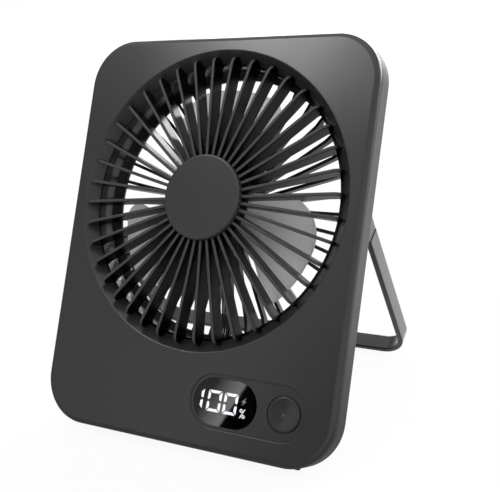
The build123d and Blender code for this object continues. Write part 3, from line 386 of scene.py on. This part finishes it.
# %% [markdown]
# The blades are moulded in light grey ABS and are little more than a millimetre thick, so the white behind them
# shines through. That is why they look brighter than the room in front of them would make them. More than half
# of the light goes through in every direction, most where the melt is paler, and the rest is the satin skin.

# %% Grey ABS of the blades
LEAST_THROUGH, MOST_THROUGH = 0.56, 0.64

tree, shader, colour, drift = satin_plastic(
    "translucent_grey_abs_blades", "#e4e4e4", "#ececec", 0.36, 0.04, 0.2, 0.5)
through = add(tree, "BsdfTranslucent", {"Color": colour})
share = add(tree, "MapRange", {
    "Value": drift, 1: NOISE_LOW, 2: NOISE_HIGH, 3: LEAST_THROUGH, 4: MOST_THROUGH})
finish_with(tree, add(tree, "MixShader", {0: share.outputs[0], 1: shader.outputs[0], 2: through.outputs[0]}))
print("blade nodes", len(tree.nodes))

# %% [markdown]
# The display window is smoked acrylic, polished, with black behind it. It is clear enough for the lit digits
# to shine through and dark enough to hide everything else, so it is modelled as real tinted glass over a
# matt black module, and its shine is the room that it mirrors.

# %% Smoked acrylic and the block behind it
tree, _ = start("smoked_acrylic_window")
finish_with(tree, add(tree, "BsdfPrincipled", {
    "Base Color": linear("#3c3c3e"), "Roughness": 0.02, "IOR": 1.49, "Transmission Weight": 1.0}))

BLOCK_SPECKS = 0.3
tree, place = start("matt_black_display_block")
speck = add(tree, "TexNoise", {"Vector": place, "Scale": per_mm(BLOCK_SPECKS), "Detail": 2.0})
tone = add(tree, "Mix", {
    "Factor": speck.outputs["Fac"], 6: linear("#020202"), 7: linear("#060606")}, data_type="RGBA")
finish_with(tree, add(tree, "BsdfPrincipled", {
    "Base Color": tone.outputs[2], "Roughness": 0.8, "Specular IOR Level": 0.1}))
print("window and block ready")

# %% [markdown]
# Each lit shape is a diffuser over a small lamp, so it glows a little unevenly. The smoked window takes most of
# the light, which is why the numbers are high. The bolt's lamp is weaker than those of the digits.

# %% Lit white of the display
LAMP_SPACING = 2.5
DIMMEST = 0.9
for name, brightest in (("lit_segment_white", 24.0), ("lit_icon_white", 6.0)):
    tree, place = start(name)
    uneven = add(tree, "TexNoise", {"Vector": place, "Scale": per_mm(LAMP_SPACING)})
    glow = add(tree, "MapRange", {
        "Value": uneven.outputs["Fac"], 1: NOISE_LOW, 2: NOISE_HIGH, 3: DIMMEST * brightest, 4: brightest})
    finish_with(tree, add(tree, "BsdfPrincipled", {
        "Base Color": linear("#f4f4f4"), "Emission Color": linear("#ffffff"),
        "Emission Strength": glow.outputs[0]}))
    print(name, "up to", brightest)

# %% [markdown]
# The hardware inside is zinc-plated screws and pins, turned and stamped motor parts and copper windings. Metals
# keep the default IOR and differ in colour, roughness and the marks of how they were made. A wave texture with
# a real pitch gives the laminations, the winding wire and the streaks of turning.

# %% Metals
WAVES_PER_UNIT = 3.18  # bands of a wave texture in one unit at scale one
WORN_SIZE = 4
SMOOTHER, ROUGHER = 0.06, 0.08
METALS = (  # name, colour, roughness, pitch and depth of the marks in mm, and the axis across them
    ("zinc_plated_steel", "#b9babd", 0.32, 0.25, 0.004, "Z"),
    ("nickel_plated_steel", "#c2beb6", 0.24, 0.30, 0.003, "Y"),
    ("stacked_sheet_steel", "#8e8e90", 0.45, 0.35, 0.06, "Y"),
    ("cast_zinc_alloy", "#b4b6b8", 0.48, 0.8, 0.01, "X"),
    ("sintered_bronze", "#a9804a", 0.42, 0.2, 0.006, "Z"),
    ("enamelled_copper_wire", "#b8653a", 0.30, 0.28, 0.08, "Y"),
    ("tin_plated_steel", "#c6c7c9", 0.26, 0.4, 0.003, "X"),
)
for name, hex_colour, roughness, pitch, depth, axis in METALS:
    tree, place = start(name)
    bands = add(tree, "TexWave", {
        "Vector": place, "Scale": per_mm(pitch) / WAVES_PER_UNIT, "Distortion": 0.6, "Detail": 1.0},
        bands_direction=axis)
    worn = add(tree, "TexNoise", {"Vector": place, "Scale": per_mm(WORN_SIZE), "Detail": 4.0})
    gloss = add(tree, "MapRange", {
        "Value": worn.outputs["Fac"], 3: roughness - SMOOTHER, 4: roughness + ROUGHER})
    relief = add(tree, "Bump", {"Height": bands.outputs["Fac"], "Strength": 0.4, "Distance": depth * MM})
    finish_with(tree, add(tree, "BsdfPrincipled", {
        "Base Color": linear(hex_colour), "Metallic": 1.0, "Roughness": gloss.outputs[0],
        "Normal": relief.outputs[0]}))
print("metals", len(METALS))

# %% [markdown]
# Rubber, foam, foil, solder mask and the small mouldings are matt and a little lumpy. One noise with lumps of
# the real size gives both their two tones and their relief, so a table of colours and sizes is enough.

# %% Rubber, boards and wiring
LUMPY = (  # name, two tones, roughness, size and depth of the lumps in mm
    ("nitrile_rubber_foot", "#121212", "#1c1c1c", 0.78, 0.6, 0.03),
    ("closed_cell_foam_tape", "#1a1a1a", "#2a2a2a", 0.92, 0.4, 0.06),
    ("solder_mask_board", "#0f4a25", "#17633a", 0.35, 1.6, 0.02),
    ("moulded_epoxy_chip", "#141414", "#1d1d1d", 0.6, 0.3, 0.01),
    ("natural_nylon_plug", "#ddd6c2", "#e9e4d4", 0.45, 2.0, 0.01),
    ("aluminium_foil_pouch", "#a9abad", "#bcbec0", 0.32, 3.0, 0.05),
    ("black_pvc_lead", "#101010", "#191919", 0.42, 1.0, 0.01),
    ("bonded_ferrite_ring", "#26262a", "#323236", 0.55, 0.5, 0.02),
)
for name, dark, light, roughness, size, depth in LUMPY:
    tree, place = start(name)
    lumps = add(tree, "TexNoise", {
        "Vector": place, "Scale": per_mm(size), "Detail": 4.0, "Roughness": 0.6}).outputs["Fac"]
    tone = add(tree, "Mix", {"Factor": lumps, 6: linear(dark), 7: linear(light)}, data_type="RGBA")
    relief = add(tree, "Bump", {"Height": lumps, "Strength": 0.35, "Distance": depth * MM})
    finish_with(tree, add(tree, "BsdfPrincipled", {
        "Base Color": tone.outputs[2], "Roughness": roughness, "Normal": relief.outputs[0]}))
print("materials in all", len(bpy.data.materials))

# %% [markdown]
# Every solid now gets the finish of what it is made of on the real fan. The solids themselves aren't touched:
# only the material in their slot is exchanged. The print at the end would name a solid that was forgotten.

# %% Dress the solids
DRESSED = {
    "satin_abs_shell": ("front_cover", "rear_cover", "grille_cap"),
    "satin_abs_button": ("power_button",),
    "satin_abs_ribs": ("front_grille",),
    "black_abs_rear_ribs": ("rear_grille",),
    "translucent_grey_abs_blades": ("impeller",),
    "glass_filled_nylon_strap": ("stand",),
    "smoked_acrylic_window": ("display_window",),
    "matt_black_display_block": ("display_module",),
    "zinc_plated_steel": (
        "case_screws", "board_screws", "motor_screws", "hinge_pin_left", "hinge_pin_right", "motor_shaft",
        "shaft_clip"),
    "nickel_plated_steel": ("rotor_can",),
    "stacked_sheet_steel": ("stator_core",),
    "cast_zinc_alloy": ("motor_base",),
    "sintered_bronze": ("front_bush", "rear_bush"),
    "enamelled_copper_wire": ("stator_coils",),
    "tin_plated_steel": ("usb_socket",),
    "nitrile_rubber_foot": ("foot_left", "foot_right"),
    "closed_cell_foam_tape": ("window_tape", "battery_pad"),
    "solder_mask_board": ("main_board", "motor_board"),
    "moulded_epoxy_chip": ("tact_switch", "board_chips", "board_inductor", "usb_tongue"),
    "natural_nylon_plug": (
        "motor_plug", "battery_plug", "switch_plunger", "hinge_washer_left", "hinge_washer_right"),
    "aluminium_foil_pouch": ("battery_cell",),
    "black_pvc_lead": ("motor_leads", "battery_leads"),
    "bonded_ferrite_ring": ("rotor_magnet",),
}
for finish, names in DRESSED.items():
    for name in names:
        nodes[name].data.materials.clear()
        nodes[name].data.materials.append(bpy.data.materials[finish])
print("solids without a finish", sorted(set(nodes) - {n for names in DRESSED.values() for n in names}))

# %% [markdown]
# The display shows a charge of one hundred per cent in seven-segment digits, with a bolt and a per cent sign.
# Each lit shape is a flat outline on the display block, a few hundredths of a millimetre thick, under the
# window. An outline is an array of points, so one function can raise any of them into a closed plate: the
# points twice, once at each height, two caps and a band of quads between them.

# %% Plates on the display block
WINDOW_MIDDLE = (20.9, -80.8)
BLOCK_FACE = -1.6
PLATE_HEIGHT = 0.06


def raised(name, outlines, finish):
    """Closed plates on the display block: caps at both heights, and sides from point i to point i + 1."""
    points, faces = [], []
    for outline in outlines:
        flat = np.asarray(outline, float) + WINDOW_MIDDLE
        count, first = len(flat), sum(len(p) for p in points)
        low = np.column_stack([flat, np.full(count, BLOCK_FACE)])
        points += [low, low + (0, 0, PLATE_HEIGHT)]
        ring = np.arange(count)
        after = np.roll(ring, -1)
        faces.append((first + ring[::-1]).tolist())
        faces.append((first + count + ring).tolist())
        faces += (first + np.column_stack([ring, after, after + count, ring + count])).tolist()
    mesh = bpy.data.meshes.new(name)
    mesh.from_pydata(on_panel(np.vstack(points)).tolist(), [], faces)
    mesh.materials.append(bpy.data.materials[finish])
    piece = bpy.data.objects.new(name, mesh)
    scene.collection.objects.link(piece)
    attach(piece, "case")
    print(name, len(outlines), "shapes")


# %% [markdown]
# A seven-segment digit needs only two outlines, a bar and an upright. The others are these two turned over. That
# reverses the order of the points, so each array that runs clockwise is read backwards, and every cap faces out.

# %% Lit digits
STROKE_GAP = 0.34
SLANT = 0.06
DIGITS = (  # left, right, low and high in mm from the window's middle, width of a stroke, and what is lit
    (-15.0, -9.9, -4.0, 4.5, 1.15, "bc"),
    (-7.9, -1.6, -4.2, 4.3, 1.12, "abcdef"),
    (-0.4, 5.75, -4.2, 4.2, 1.12, "abcdef"),
)


def segments(left, right, low, high, stroke, lit):
    """Strokes with mitred ends: bars at top and bottom, and uprights that meet in a point half-way."""
    gap, middle = STROKE_GAP, (low + high) / 2
    bar = np.array([
        (left + gap, high), (right - gap, high),
        (right - stroke - gap, high - stroke), (left + stroke + gap, high - stroke)])
    upright = np.array([
        (left, high - gap), (left, middle + gap + stroke / 3), (left + stroke / 3, middle + gap),
        (left + stroke, middle + gap + stroke / 2), (left + stroke, high - stroke - gap)])
    over_x, over_y = np.array([(left + right, 0.0)]), np.array([(0.0, low + high)])
    shapes = {
        "a": bar[::-1], "d": over_y + bar * (1, -1),
        "f": upright, "b": (over_x + upright * (-1, 1))[::-1],
        "e": (over_y + upright * (1, -1))[::-1], "c": over_x + over_y - upright}
    return [shapes[key] + shapes[key][:, 1:] * (SLANT, 0.0) for key in lit]


raised("lit_digits", [shape for digit in DIGITS for shape in segments(*digit)], "lit_segment_white")

# %% [markdown]
# The per cent sign is two rings and a slash. A ring has a hole, which one outline can't have, so each is made of
# two half rings, the outer arc one way and the inner arc back. The bolt is six points.

# %% Per cent sign and bolt
CIRCLE_POINTS = 28
RING_OUTER, RING_INNER = 0.70, 0.36
RING_SPOTS = ((7.85, -1.75), (9.05, -3.95))
SLASH = ((9.65, -1.05), (9.25, -1.05), (7.25, -4.65), (7.65, -4.65))
BOLT = ((9.55, 3.6), (7.45, 1.65), (8.5, 1.65), (7.65, 0.2), (9.75, 2.05), (8.7, 2.05))

angle = np.linspace(0, 2 * np.pi, CIRCLE_POINTS, endpoint=False)
arc = np.column_stack([np.cos(angle), np.sin(angle)])[:CIRCLE_POINTS // 2 + 1]
half_ring = np.vstack([arc * RING_OUTER, arc[::-1] * RING_INNER])
rings = [half_ring * flip + middle for middle in RING_SPOTS for flip in ((1, 1), (-1, -1))]
raised("lit_per_cent", [*rings, SLASH], "lit_segment_white")
raised("lit_bolt", [BOLT], "lit_icon_white")
